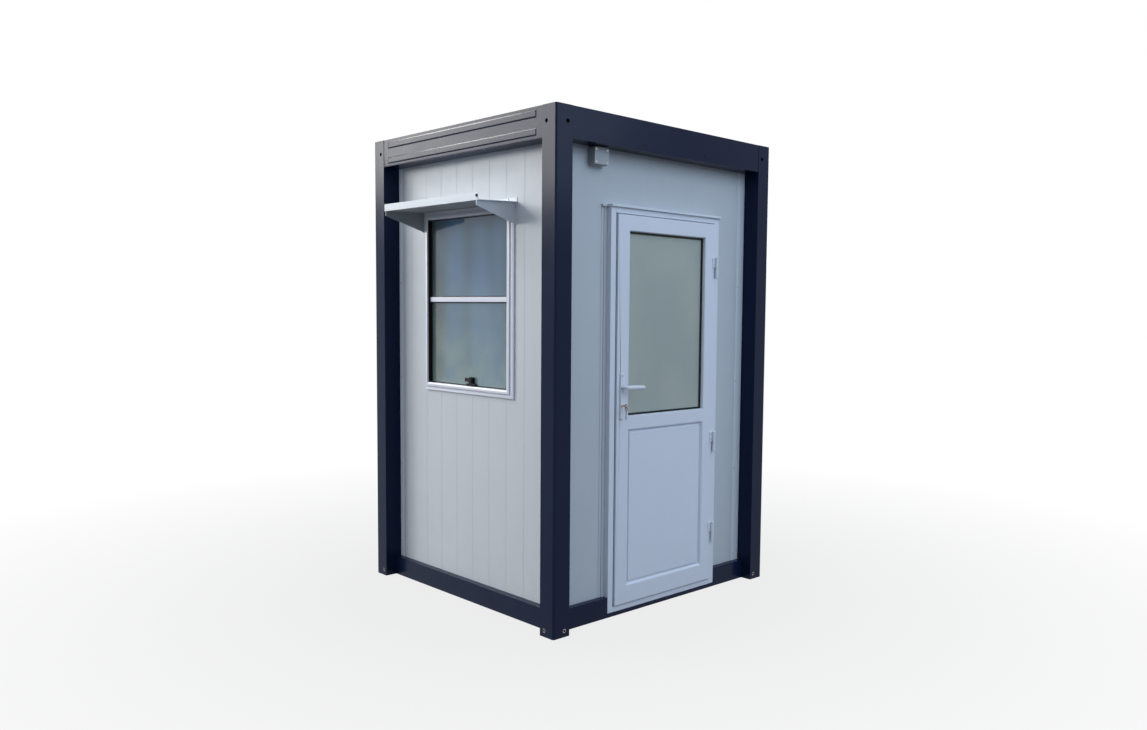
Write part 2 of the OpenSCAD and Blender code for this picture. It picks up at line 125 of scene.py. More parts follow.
class Finish:
    """One procedural material, built from a Principled shader and a few noise layers."""

    def __init__(self, name, **sockets):
        self.material = bpy.data.materials.new(name)
        self.material.use_nodes = True
        self.tree = self.material.node_tree
        self.shader = self.tree.nodes["Principled BSDF"]
        self.coords = self.add("ShaderNodeTexCoord").outputs["Object"]
        for key, value in sockets.items():
            socket = key.replace("_", " ").title().replace("Ior", "IOR")
            self.shader.inputs[socket].default_value = value

    def add(self, kind, **settings):
        node = self.tree.nodes.new(kind)
        for key, value in settings.items():
            setattr(node, key, value)
        return node

    def link(self, source, target):
        self.tree.links.new(source, target)

    def noise(self, scale, stretch=(1, 1, 1), detail=3.0, start=(0, 0, 0)):
        """Noise in the object's own coordinates, scale in waves per metre."""
        mapping = self.add("ShaderNodeMapping")
        mapping.inputs["Location"].default_value = start
        mapping.inputs["Scale"].default_value = stretch
        self.link(self.coords, mapping.inputs["Vector"])
        texture = self.add("ShaderNodeTexNoise")
        texture.inputs["Scale"].default_value = scale
        texture.inputs["Detail"].default_value = detail
        self.link(mapping.outputs["Vector"], texture.inputs["Vector"])
        return texture.outputs["Fac"]

    def spread(self, value, low, high, to_low, to_high):
        """The value's range low to high, stretched to another range and clamped."""
        node = self.add("ShaderNodeMapRange")
        ends = {"From Min": low, "From Max": high, "To Min": to_low, "To Max": to_high}
        for socket, number in ends.items():
            node.inputs[socket].default_value = number
        self.link(value, node.inputs["Value"])
        return node.outputs["Result"]

    def times(self, a, b):
        node = self.add("ShaderNodeMath", operation="MULTIPLY")
        self.link(a, node.inputs[0])
        self.link(b, node.inputs[1])
        return node.outputs[0]

    def mix(self, share, a, b):
        """Colour between a and b; a and b are colours or sockets."""
        node = self.add("ShaderNodeMix", data_type="RGBA")
        self.link(share, node.inputs["Factor"])
        for socket, value in ((node.inputs[MIX_A], a), (node.inputs[MIX_B], b)):
            if isinstance(value, tuple):
                socket.default_value = (*value, 1)
            else:
                self.link(value, socket)
        return node.outputs[MIX_RESULT]

    def height(self):
        """Height above the ground at rest."""
        node = self.add("ShaderNodeSeparateXYZ")
        self.link(self.coords, node.inputs["Vector"])
        return node.outputs["Z"]

    def colour(self, socket):
        self.link(socket, self.shader.inputs["Base Color"])

    def roughness(self, low, high, scale=6):
        worn = self.spread(self.noise(scale, detail=1.0), *WEAR_SPAN, low, high)
        self.link(worn, self.shader.inputs["Roughness"])

    def bump(self, scale, distance, stretch=(1, 1, 1)):
        node = self.add("ShaderNodeBump")
        node.inputs["Distance"].default_value = distance
        self.link(self.noise(scale, stretch, detail=2.0), node.inputs["Height"])
        self.link(node.outputs["Normal"], self.shader.inputs["Normal"])


DUST = (0.30, 0.29, 0.27)
DUST_PATCHES = 14
DUST_LEAST = 0.25
STREAKS = (1, (16, 16, 0.7), 4.0)
STREAK_SHADE = 0.6


def coated(name, base, tone, rough, peel, streaks=0.0, dust=0.0, dust_z=0.5, mottle=5, **sockets):
    """Paint or plastic: mottled colour, rain streaks, dust near the ground and a fine texture."""
    finish = Finish(name, **sockets)
    colour = finish.mix(finish.spread(finish.noise(mottle), *MOTTLE_SPAN, 0, 1), base, tone)
    if streaks:
        run = finish.spread(finish.noise(*STREAKS), *STREAK_SPAN, 0, streaks)
        colour = finish.mix(run, colour, tuple(STREAK_SHADE * c for c in base))
    if dust:
        low_down = finish.spread(finish.height(), 0, dust_z, dust, 0)
        patchy = finish.spread(finish.noise(DUST_PATCHES), *DUST_SPAN, DUST_LEAST, 1)
        colour = finish.mix(finish.times(low_down, patchy), colour, DUST)
    finish.colour(colour)
    finish.roughness(*rough)
    finish.bump(*peel)
    return finish.material


METAL_CLOUDS = 60
METAL_WEAR = 90
BRUSHING = (900, 0.00004, (1, 1, 0.05))


def metal(name, base, tone, rough):
    """Bare metal with fine brushing along its length."""
    finish = Finish(name, metallic=1.0)
    clouds = finish.spread(finish.noise(METAL_CLOUDS), *MIDDLE_SPAN, 0, 1)
    finish.colour(finish.mix(clouds, base, tone))
    finish.roughness(*rough, scale=METAL_WEAR)
    finish.bump(*BRUSHING)
    return finish.material


FILM = (3, (1, 1, 0.6))
HAZE_PATCHES = 7
HAZE_MOST = 0.9
HAZE_LEAST = 0.45
PANE_WEAR = 5


def glazing(name, base, tone, rough, wave, film_or_reflection=FILM, haze=None, haze_z=(0, 1), **sockets):
    """Glass with bands between its base and tone colours, and haze towards its foot. On the frosted
    glass the bands are an uneven film of dust; on the clear glass the blue bands are a painted
    reflection of the sky.
    """
    finish = Finish(name, **sockets)
    colour = finish.mix(finish.spread(finish.noise(*film_or_reflection), *FILM_OR_REFLECTION_SPAN, 0, 1), base, tone)
    if haze:
        low_down = finish.spread(finish.height(), *haze_z, HAZE_MOST, 0)
        patchy = finish.spread(finish.noise(HAZE_PATCHES), *MIDDLE_SPAN, HAZE_LEAST, 1)
        colour = finish.mix(finish.times(low_down, patchy), colour, haze)
    finish.colour(colour)
    finish.roughness(*rough, scale=PANE_WEAR)
    finish.bump(*wave)
    return finish.material


FLECK_CELLS = 180
VINYL_CLOUDS = 9
VINYL_ROUGH = (0.42, 0.6)
VINYL_GRAIN = (420, 0.0003)


def vinyl(name, base, tone, fleck):
    """Speckled floor covering."""
    finish = Finish(name)
    cells = finish.add("ShaderNodeTexVoronoi")
    cells.inputs["Scale"].default_value = FLECK_CELLS
    finish.link(finish.coords, cells.inputs["Vector"])
    flecks = finish.spread(cells.outputs["Color"], *FLECK_SPAN, 0, 1)
    clouds = finish.spread(finish.noise(VINYL_CLOUDS), *MIDDLE_SPAN, 0, 1)
    ground = finish.mix(clouds, base, tone)
    finish.colour(finish.mix(flecks, ground, fleck))
    finish.roughness(*VINYL_ROUGH)
    finish.bump(*VINYL_GRAIN)
    return finish.material


PAINT_PEEL = (90, 0.00002)
SHEET_PEEL = (60, 0.00002)
PLASTIC_PEEL = (120, 0.00001)
looks = {
    "frame_paint": coated(
        "navy_paint", linear(14, 28, 55), linear(17, 31, 59), (0.18, 0.22), PAINT_PEEL,
        dust=0.015, dust_z=0.3, specular_ior_level=0.10,
    ),
    "wall_sheet": coated(
        "grey_coated_sheet", linear(203, 207, 211), linear(199, 204, 208), (0.42, 0.48), SHEET_PEEL,
        streaks=0.05, dust=0.10, dust_z=0.6, specular_ior_level=0.25,
    ),
    "white_pvc": coated(
        "white_pvc", linear(228, 232, 242), linear(225, 229, 240), (0.29, 0.33), PLASTIC_PEEL,
        streaks=0.02, dust=0.05,
    ),
    "white_sheet": coated(
        "white_coated_sheet", linear(228, 234, 240), linear(222, 228, 234),
        (0.36, 0.42), SHEET_PEEL, streaks=0.08, specular_ior_level=0.15,
    ),
    "roof_sheet": coated(
        "roof_sheet", linear(168, 171, 174), linear(156, 159, 162), (0.4, 0.5), SHEET_PEEL, mottle=3
    ),
    "ceiling_sheet": coated(
        "ceiling_sheet", linear(230, 231, 232), linear(224, 226, 228), (0.4, 0.5), SHEET_PEEL
    ),
    "floor_steel": coated(
        "floor_steel", linear(148, 150, 152), linear(128, 131, 134), (0.4, 0.6), PAINT_PEEL
    ),
    "floor_vinyl": vinyl(
        "floor_vinyl", linear(150, 149, 146), linear(136, 136, 134), linear(190, 188, 182)
    ),
    # Clear glass: the sky-blue tone, laid in broad bands across the pane, is a painted reflection of
    # the sky
    "clear_glass": glazing(
        "clear_glass", linear(112, 124, 122), linear(138, 174, 206), (0.02, 0.06), (2.5, 0.0004),
        film_or_reflection=(2.2, (1.4, 1, 0.2), 1.0, (0.42, 0, 0)),
        haze=linear(182, 204, 198), haze_z=(1.15, 1.75),
        transmission_weight=0.55, ior=1.5,
    ),
    "frosted_glass": glazing(
        "frosted_glass", linear(206, 214, 206), linear(196, 206, 200), (0.34, 0.5), (260, 0.0004),
        transmission_weight=0.42, ior=1.45,
    ),
    "black_plastic": coated(
        "black_plastic", linear(12, 13, 15), linear(18, 19, 22), (0.4, 0.5), PLASTIC_PEEL,
        specular_ior_level=0.15,
    ),
    "hinge_white": coated(
        "hinge_white", linear(228, 232, 241), linear(222, 227, 236), (0.29, 0.36), PLASTIC_PEEL
    ),
    "handle_white": coated(
        "handle_white", linear(226, 230, 238), linear(219, 224, 232), (0.29, 0.34), PLASTIC_PEEL
    ),
    "box_plastic": coated(
        "box_plastic", linear(166, 170, 176), linear(160, 165, 171), (0.42, 0.48), PLASTIC_PEEL
    ),
    "lock_steel": metal("lock_steel", (0.55, 0.53, 0.48), (0.42, 0.41, 0.38), (0.29, 0.36)),
    "key_steel": metal("key_steel", (0.40, 0.37, 0.30), (0.30, 0.28, 0.23), (0.3, 0.45)),
}


# Mesh building
def add_box(bm, place, u, v, d):
    """Box between the two values of each range."""
    corners = [[[bm.verts.new(place(a, b, c)) for c in d] for b in v] for a in u]
    for k in (0, 1):
        bm.faces.new((corners[k][0][0], corners[k][0][1], corners[k][1][1], corners[k][1][0]))
        bm.faces.new((corners[0][k][0], corners[0][k][1], corners[1][k][1], corners[1][k][0]))
        bm.faces.new((corners[0][0][k], corners[0][1][k], corners[1][1][k], corners[1][0][k]))


def bridge(bm, loops, closed):
    """Quads between neighbouring closed loops of vertices."""
    for i in range(0 if closed else 1, len(loops)):
        a, b = loops[i - 1], loops[i]
        for k in range(len(a)):
            bm.faces.new((a[k - 1], a[k], b[k], b[k - 1]))


def loft(bm, loops):
    """Skin through the loops, closed at both ends."""
    bridge(bm, loops, closed=False)
    bm.faces.new(loops[0])
    bm.faces.new(loops[-1])


def turns(count):
    """Angles of so many even steps around a circle."""
    return [2 * math.pi * k / count for k in range(count)]


def add_ring(bm, place, outer, inner, profile):
    """Mitred frame between two rectangles; the profile is (share inwards, depth) points."""
    loops = []
    for share, d in profile:
        u0, u1, v0, v1 = (a + share * (b - a) for a, b in zip(outer, inner))
        corners = ((u0, v0), (u1, v0), (u1, v1), (u0, v1))
        loops.append([bm.verts.new(place(u, v, d)) for u, v in corners])
    bridge(bm, loops, closed=True)


def add_turned(bm, place, u, v, profile, closed=False, segments=20):
    """Turned form about the outward line through (u, v); the profile is (radius, depth) points."""
    circle = [(math.cos(t), math.sin(t)) for t in turns(segments)]
    loops = [[bm.verts.new(place(u + r * x, v + r * y, d)) for x, y in circle] for r, d in profile]
    if closed:
        bridge(bm, loops, closed=True)
    else:
        loft(bm, loops)


def add_prism(bm, place, outline, d):
    """Flat outline of (u, v) points with the two depths of d."""
    loft(bm, [[bm.verts.new(place(u, v, c)) for u, v in outline] for c in d])


def add_panel(bm, place, line, v_cuts, depth, hole=None):
    """Panel grooved on both faces: line is (u, groove depth) points, hole is (u0, u1, v0, v1)."""
    us = [u for u, _ in line]
    grid = []
    for u, cut in line:
        faces = (-cut, cut - depth)
        grid.append([[bm.verts.new(place(u, v, d)) for d in faces] for v in v_cuts])

    def solid(i, j):
        if not (0 <= i < len(us) - 1 and 0 <= j < len(v_cuts) - 1):
            return False
        u, v = (us[i] + us[i + 1]) / 2, (v_cuts[j] + v_cuts[j + 1]) / 2
        return not (hole and hole[0] < u < hole[1] and hole[2] < v < hole[3])

    for i in range(len(us) - 1):
        for j in range(len(v_cuts) - 1):
            if not solid(i, j):
                continue
            ring = (grid[i][j], grid[i + 1][j], grid[i + 1][j + 1], grid[i][j + 1])
            for side in (0, 1):
                bm.faces.new([corner[side] for corner in ring])
            for k, (di, dj) in enumerate(((0, -1), (1, 0), (0, 1), (-1, 0))):
                if not solid(i + di, j + dj):
                    a, b = ring[k], ring[(k + 1) % 4]
                    bm.faces.new((a[0], b[0], b[1], a[1]))


WELD_WITHIN = 1e-5


def soften(obj, width, weld=False, turn=40):
    """Rounded edges that catch the light, where faces turn by more than so many degrees."""
    if weld:
        obj.modifiers.new("join", "WELD").merge_threshold = WELD_WITHIN
    bevel = obj.modifiers.new("edges", "BEVEL")
    bevel.width = width
    bevel.segments = 2
    bevel.limit_method = "ANGLE"
    bevel.angle_limit = math.radians(turn)
    bevel.harden_normals = False
    obj.modifiers.new("shading", "WEIGHTED_NORMAL")


SMOOTH_BELOW = math.radians(38)


def piece(name, bm, body, slot, edge=0.0, replaces=(), flat=False):
    """Makes the mesh into a piece that rides on a body and takes a slot's finish."""
    bmesh.ops.recalc_face_normals(bm, faces=bm.faces)
    mesh = bpy.data.meshes.new(name)
    bm.to_mesh(mesh)
    bm.free()
    if not flat:
        mesh.shade_smooth()
        mesh.set_sharp_from_angle(angle=SMOOTH_BELOW)
    mesh.materials.append(looks[slot])
    obj = bpy.data.objects.new(name, mesh)
    scene.collection.objects.link(obj)
    if edge:
        soften(obj, edge)
    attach(obj, body)
    if replaces:
        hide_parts(*replaces)


# Finishes and soft edges of the solids
bars = [node for node in nodes if node.startswith(("post_", "rail_"))]
door_frame = ["door_jamb_lock", "door_jamb_hinge", "door_head", "door_sill"]
EDGES = (
    (0.0020, [*bars, "threshold", "window_latch", "drip_cap"]),
    (0.0015, [*door_frame, "door_leaf", "door_panel", "window_bar"]),
    (0.0030, ["junction_box", "frame_hinges", "leaf_hinges", "handle_plates"]),
    (0.0008, ["hood_sheet", "hood_gussets", "corner_strips", "lock_cylinder", "door_stops"]),
)
BEAM_EDGE = 0.0016
BEAD_TURN = 10
for node, obj in nodes.items():
    obj.data.materials.clear()
    obj.data.materials.append(looks[slot_of[node]])
for width, names in EDGES:
    for node in names:
        soften(nodes[node], width, weld=True)
for node in nodes:
    if node.startswith("beam_"):
        soften(nodes[node], BEAM_EDGE, weld=True, turn=BEAD_TURN)

# Grooved wall panels
GROOVE_PITCH = 0.145
GROOVE_START = -0.565
GROOVE_HALF = 0.0028
GROOVE_DEEP = 0.0010


def grooved(u0, u1, extra=()):
    """(u, groove depth) points of a panel from u0 to u1, with further plain points."""
    line = {round(u, 6): 0.0 for u in (u0, u1, *extra)}
    middle = GROOVE_START
    while middle < u1 - GROOVE_HALF:
        if middle > u0 + GROOVE_HALF:
            line.update({middle - GROOVE_HALF: 0.0, middle + GROOVE_HALF: 0.0})
            line[middle] = GROOVE_DEEP
        middle += GROOVE_PITCH
    return sorted(line.items())


left_lo, left_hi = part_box("left_wall")
bm = bmesh.new()
window_hole = (win_lo.x, win_hi.x, win_lo.z, win_hi.z)
line = grooved(wall_lo.x, wall_hi.x, (win_lo.x, win_hi.x))
add_panel(bm, on_front, line, (wall_lo.z, win_lo.z, win_hi.z, wall_hi.z), wall_t, window_hole)
piece("front_wall_panel", bm, "booth", "wall_sheet", replaces=["front_wall"], flat=True)
bm = bmesh.new()
add_panel(bm, on_back, grooved(wall_lo.x, wall_hi.x), (wall_lo.z, wall_hi.z), wall_t)
piece("back_wall_panel", bm, "booth", "wall_sheet", replaces=["back_wall"], flat=True)
bm = bmesh.new()
add_panel(bm, on_left, grooved(left_lo.y, left_hi.y), (wall_lo.z, wall_hi.z), wall_t)
piece("left_wall_panel", bm, "booth", "wall_sheet", replaces=["left_wall"], flat=True)
bm = bmesh.new()
line = grooved(ceiling_lo.x, ceiling_hi.x)
add_panel(bm, on_ceiling, line, (ceiling_lo.y, ceiling_hi.y), ceiling_hi.z - ceiling_lo.z)
piece("ceiling_boards", bm, "booth", "ceiling_sheet", replaces=["ceiling"], flat=True)

# Corner strips of the window side and the back, and the rivets of all strips
STRIP_W = 0.036
STRIP_T = 0.0015
bm = bmesh.new()
for place in (on_front, on_back):
    for u in ((-wall_x, STRIP_W - wall_x), (wall_x - STRIP_W, wall_x)):
        add_box(bm, place, u, (wall_lo.z, wall_hi.z), (0, STRIP_T))
piece("end_corner_strips", bm, "booth", "white_sheet", edge=0.0005)


def rivet(r, h):
    """Low domed head of radius r and height h, as (radius, height) points."""
    return [(r, 0), (r * 0.96, h * 0.4), (r * 0.72, h * 0.8), (r * 0.3, h)]


def screw(r, h):
    """Round head with a sunk drive, as (radius, height) points."""
    return [(r, 0), (r, h * 0.5), (r * 0.8, h), (r * 0.4, h), (r * 0.34, h * 0.35)]


def raised(profile, d):
    """The profile, moved out by d."""
    return [(r, h + d) for r, h in profile]


strip_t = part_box("corner_strips")[1].x - wall_x
RIVET = rivet(0.0042, 0.002)
RIVET_ZS = (0.141, 0.65, 1.16, 1.70, 2.277)
END_RIVET_IN = 0.018
SIDE_RIVET_IN = 0.048
bm = bmesh.new()
for z in RIVET_ZS:
    for sign in (-1, 1):
        for place in (on_right, on_left):
            add_turned(bm, place, sign * (wall_y - SIDE_RIVET_IN), z, raised(RIVET, strip_t))
        for place in (on_front, on_back):
            add_turned(bm, place, sign * (wall_x - END_RIVET_IN), z, raised(RIVET, STRIP_T))
piece("strip_rivets", bm, "booth", "lock_steel")


def inset(rect, by):
    """The rectangle (u0, u1, v0, v1), smaller on every side."""
    return (rect[0] + by, rect[1] - by, rect[2] + by, rect[3] - by)


def bead(face, top, flat, toe):
    """Bead or seal: level for a share of its width, then down to a share of its height."""
    return [(0, face), (0, top), (flat, top), (1, face + toe * (top - face)), (1, face)]


# Window frame with its outer flange, sash step and chamfer
pane_rect = (pane_lo.x, pane_hi.x, pane_lo.z, pane_hi.z)
win_out = -wall_y - win_lo.y
FLANGE_OUT = 0.009
FLANGE_EDGE = 0.002
STEP_DEEP = 0.004
SASH_EDGE = 0.001
CHAMFER = 0.005
casing = [
    (0, -wall_t), (0, FLANGE_OUT - FLANGE_EDGE), (0.05, FLANGE_OUT), (0.42, FLANGE_OUT),
    (0.45, FLANGE_OUT - STEP_DEEP), (0.50, FLANGE_OUT - STEP_DEEP), (0.52, win_out - SASH_EDGE),
    (0.56, win_out), (0.86, win_out), (1, win_out - CHAMFER), (1, -wall_t),
]
bm = bmesh.new()
add_ring(bm, on_front, window_hole, pane_rect, casing)
piece("window_casing", bm, "booth", "white_pvc", replaces=["window_frame"])

# Black guides beside the panes and black seals on the glass
glass_out = -wall_y - pane_lo.y
glass_back = -wall_y - pane_hi.y
GUIDE_T = 0.004
GUIDE_BACK = 0.007
SEAL_W = 0.006
SEAL_T = 0.003
SEAL_TOE = 1 / 3
bm = bmesh.new()
for u in ((pane_lo.x, pane_lo.x + GUIDE_T), (pane_hi.x - GUIDE_T, pane_hi.x)):
    add_box(bm, on_front, u, (pane_lo.z, pane_hi.z), (glass_out, win_out - GUIDE_BACK))
for v0, v1 in ((pane_lo.z, bar_lo.z), (bar_hi.z, pane_hi.z)):
    around = (pane_lo.x, pane_hi.x, v0, v1)
    for face, top in ((glass_out, glass_out + SEAL_T), (glass_back, glass_back - SEAL_T)):
        profile = bead(face, top, flat=0.5, toe=SEAL_TOE)
        add_ring(bm, on_front, around, inset(around, SEAL_W), profile)
piece("window_seals", bm, "booth", "black_plastic")

# Window latch: round knob, keeper, thumb piece and screws
latch_lo, latch_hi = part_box("window_latch")
latch_out = -wall_y - latch_lo.y
latch_u = (latch_lo.x + latch_hi.x) / 2
KNOB_R = 0.015
KNOB_T = 0.012
KNOB_SIDE = 0.006
KEEPER_LEFT, KEEPER_RIGHT = 0.012, 0.020
KEEPER_DOWN = 0.004
THUMB_LEN = 0.044
THUMB_HALF = 0.010
THUMB_BACK, THUMB_OUT = 0.004, 0.006
LATCH_SCREW = screw(0.0035, 0.0018)
LATCH_SCREW_SIDE = 0.03
LATCH_SCREW_UP = 0.007
knob = [
    (KNOB_R, 0), (KNOB_R, KNOB_T * 0.3), (KNOB_R * 0.8, KNOB_T * 0.5),
    (KNOB_R * 0.9, KNOB_T * 0.9), (KNOB_R * 0.5, KNOB_T),
]
bm = bmesh.new()
add_turned(bm, on_front, latch_u + KNOB_SIDE, latch_hi.z, raised(knob, latch_out))
keeper_u = (latch_u - KEEPER_LEFT, latch_u + KEEPER_RIGHT)
keeper_v = (latch_hi.z - KEEPER_DOWN, latch_hi.z + KNOB_R)
add_box(bm, on_front, keeper_u, keeper_v, (glass_out, latch_out))
thumb_v = (latch_hi.z - THUMB_HALF, latch_hi.z + THUMB_HALF)
thumb_d = (glass_out + THUMB_BACK, latch_out + THUMB_OUT)
add_box(bm, on_front, (latch_u - THUMB_LEN, latch_u), thumb_v, thumb_d)
latch_head = raised(LATCH_SCREW, latch_out)
for side in (-LATCH_SCREW_SIDE, LATCH_SCREW_SIDE):
    add_turned(bm, on_front, latch_u + side, latch_lo.z + LATCH_SCREW_UP, latch_head)
piece("latch_knob", bm, "booth", "black_plastic", edge=0.0012)

# Hood: wall flanges of the gussets, and the screws of the flanges and of the sheet
FLANGE_W = 0.008
FLANGE_T = 0.002
FLANGE_SCREW = screw(0.003, 0.0016)
FLANGE_SCREW_UPS = (0.02, 0.085)
SHEET_T = 0.003
SHEET_SCREW = screw(0.0048, 0.0026)
SHEET_SCREWS = 6
SHEET_SCREW_IN = 0.07
SHEET_SCREW_DOWN = 0.012
bm = bmesh.new()
for u in ((gusset_lo.x - FLANGE_W, gusset_lo.x), (gusset_hi.x, gusset_hi.x + FLANGE_W)):
    add_box(bm, on_front, u, (gusset_lo.z, gusset_hi.z), (0, FLANGE_T))
piece("gusset_flanges", bm, "booth", "white_sheet", edge=0.0006)
bm = bmesh.new()
for u in (gusset_lo.x - FLANGE_W / 2, gusset_hi.x + FLANGE_W / 2):
    for up in FLANGE_SCREW_UPS:
        add_turned(bm, on_front, u, gusset_lo.z + up, raised(FLANGE_SCREW, FLANGE_T))
screw_row = sheet_hi.x - sheet_lo.x - 2 * SHEET_SCREW_IN
for k in range(SHEET_SCREWS):
    u = sheet_lo.x + SHEET_SCREW_IN + k * screw_row / (SHEET_SCREWS - 1)
    add_turned(bm, on_front, u, sheet_hi.z - SHEET_SCREW_DOWN, raised(SHEET_SCREW, SHEET_T))
piece("hood_screws", bm, "booth", "lock_steel")

# Painted shade on the hood's reverse: a thin grey layer under the sheet and on the gussets' inner
# faces. It is darker than the white sheet and stands in for the shade there
GUSSET_T = 0.003
GUSSET_NOSE = 0.024
SHADE_LAYER_T = 0.0004
gusset_out = -wall_y - gusset_lo.y


def in_profile(u, v, d):
    """Section through the hood: out of the wall, up, and along the wall."""
    return Vector((d, -wall_y - u, v))


bm = bmesh.new()
inner_x = (gusset_lo.x + GUSSET_T, gusset_hi.x - GUSSET_T)
under = [(0, gusset_hi.z), (gusset_out, sheet_lo.z)]
add_prism(bm, in_profile, under + [(u, v - SHADE_LAYER_T) for u, v in reversed(under)], inner_x)
cheek = under + [(gusset_out, sheet_lo.z - GUSSET_NOSE), (0, gusset_lo.z)]
for face, inward in zip(inner_x, (SHADE_LAYER_T, -SHADE_LAYER_T)):
    add_prism(bm, in_profile, cheek, (face, face + inward))
piece("hood_painted_shade", bm, "booth", "roof_sheet", flat=True)

# Black screw of the hood's lip
LIP_SCREW = screw(0.0075, 0.004)
LIP_SCREW_IN = 0.0085
LIP_SCREW_UP = 0.022
lip_head = raised(LIP_SCREW, -wall_y - sheet_lo.y)
bm = bmesh.new()
add_turned(bm, on_front, sheet_hi.x - LIP_SCREW_IN, sheet_lo.z + LIP_SCREW_UP, lip_head)
piece("hood_lip_screw", bm, "booth", "black_plastic")

# Door surround: stepped flashing on the wall beside the frame, and at the ends of its cap
FLASHING_W = 0.036
FLASHING_STEP = 0.020
FLASHING_T = 0.002
FLASHING_STEP_T = 0.006
CAP_END_T = 0.012
rail_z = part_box("rail_right_front")[1].z
bm = bmesh.new()
for edge, sign in ((jamb_lo.y, -1), (frame_y1, 1)):
    step = edge + sign * FLASHING_STEP
    outer = edge + sign * FLASHING_W
    add_box(bm, on_right, sorted((edge, step)), (rail_z, cap_lo.z), (0, FLASHING_STEP_T))
    add_box(bm, on_right, sorted((step, outer)), (rail_z, cap_lo.z), (0, FLASHING_T))
for u in ((jamb_lo.y - FLASHING_W, cap_lo.y), (cap_hi.y, frame_y1 + FLASHING_W)):
    add_box(bm, on_right, u, (cap_lo.z, cap_hi.z), (0, CAP_END_T))
piece("door_flashing", bm, "booth", "wall_sheet", edge=0.0006)

# Door leaf: beads of the lower panel and of the glass, and black seals, on both faces
leaf_out = leaf_hi.x - wall_x
leaf_in = leaf_lo.x - wall_x
light_out = light_hi.x - wall_x
light_in = light_lo.x - wall_x
light_rect = (light_lo.y, light_hi.y, light_lo.z, light_hi.z)
panel_rect = (panel_lo.y, panel_hi.y, panel_lo.z, panel_hi.z)
FIELD_OUT = 0.009
PANEL_BEAD_W = 0.012
PANEL_BEAD_BACK = 0.001
LIGHT_BEAD_W = 0.004
LIGHT_BEAD_BACK = 0.002
LEAF_SEAL_W = 0.010
LEAF_SEAL_T = 0.007
panel_out = panel_hi.x - wall_x - FIELD_OUT
panel_in = panel_lo.x - wall_x
bm = bmesh.new()
for face, top in ((panel_out, leaf_out - PANEL_BEAD_BACK), (panel_in, leaf_in + PANEL_BEAD_BACK)):
    profile = bead(face, top, flat=0.2, toe=0.1)
    add_ring(bm, on_right, panel_rect, inset(panel_rect, PANEL_BEAD_W), profile)
for face, top in ((light_out, leaf_out - LIGHT_BEAD_BACK), (light_in, leaf_in + LIGHT_BEAD_BACK)):
    profile = bead(face, top, flat=0.5, toe=0.5)
    add_ring(bm, on_right, light_rect, inset(light_rect, LIGHT_BEAD_W), profile)
piece("leaf_beads", bm, "door", "white_pvc")
bm = bmesh.new()
seal_rect = inset(light_rect, LIGHT_BEAD_W)
for face, top in ((light_out, light_out + LEAF_SEAL_T), (light_in, light_in - LEAF_SEAL_T)):
    profile = bead(face, top, flat=0.4, toe=SEAL_TOE)
    add_ring(bm, on_right, seal_rect, inset(seal_rect, LEAF_SEAL_W), profile)
piece("leaf_seals", bm, "door", "black_plastic")

# Black seals on the door stops
STOP_SEAL_T = 0.006
STOP_SEAL_NEAR, STOP_SEAL_FAR = 0.006, 0.013
stop_out = stop_hi.x - wall_x
seal_d = (stop_out, stop_out + STOP_SEAL_T)
far_y = (stop_lo.y + STOP_SEAL_FAR, stop_hi.y - STOP_SEAL_FAR)
seal_top = stop_hi.z - STOP_SEAL_NEAR
bm = bmesh.new()
for u in ((stop_lo.y + STOP_SEAL_NEAR, far_y[0]), (far_y[1], stop_hi.y - STOP_SEAL_NEAR)):
    add_box(bm, on_right, u, (stop_lo.z, seal_top), seal_d)
add_box(bm, on_right, far_y, (stop_hi.z - STOP_SEAL_FAR, seal_top), seal_d)
piece("stop_seals", bm, "booth", "black_plastic", edge=0.001)

# Handle: collars, plate screws and lock rims on both plates
spindle_y = (plate_lo.y + plate_hi.y) / 2
spindle_z = (lever_lo.z + lever_hi.z) / 2
lock_z = (lock_lo.z + lock_hi.z) / 2
plates = ((plate_hi.x - wall_x, 1), (plate_lo.x - wall_x, -1))
COLLAR = [(0.0105, 0), (0.0120, 0.0004), (0.0118, 0.0022), (0.0104, 0.0030)]
LOCK_RIM = [(0.0088, 0), (0.0112, 0), (0.0110, 0.0022), (0.0090, 0.0030)]
PLATE_SCREW = screw(0.004, 0.0016)
PLATE_SCREW_IN = 0.014
FINE = 28


def outward(profile, base, sign):
    """The profile on a base, towards the side that the sign tells."""
    return [(r, base + sign * d) for r, d in profile]


bm = bmesh.new()
for plate in plates:
    collar = outward(COLLAR, *plate)
    add_turned(bm, on_right, spindle_y, spindle_z, collar, closed=True, segments=FINE)
piece("handle_collars", bm, "door", "handle_white")
bm = bmesh.new()
for plate in plates:
    for z in (plate_lo.z + PLATE_SCREW_IN, plate_hi.z - PLATE_SCREW_IN):
        add_turned(bm, on_right, spindle_y, z, outward(PLATE_SCREW, *plate))
    rim = outward(LOCK_RIM, *plate)
    add_turned(bm, on_right, spindle_y, lock_z, rim, closed=True, segments=FINE)
piece("handle_fixings", bm, "door", "lock_steel")

# Levers: a round neck that bends into a flattened grip
LEVER_START = 0.0006
LEVER_OUT = 0.036
LEVER_BEND = 0.014
LEVER_DROOP = 0.004
NECK_R = 0.009
NECK_END_R = 0.0081
GRIP_HALF_H = 0.0112
GRIP_HALF_T = 0.0072
GRIP_NARROWS = 0.12
TIP_IN = 0.004
TIP_FROM = 0.86
TIP_LEAST = 0.02
BEND_STEPS = 6
GRIP_STEPS = 14
SECTION_POINTS = 20
lever_len = lever_hi.y - spindle_y
neck_out = LEVER_OUT - LEVER_BEND


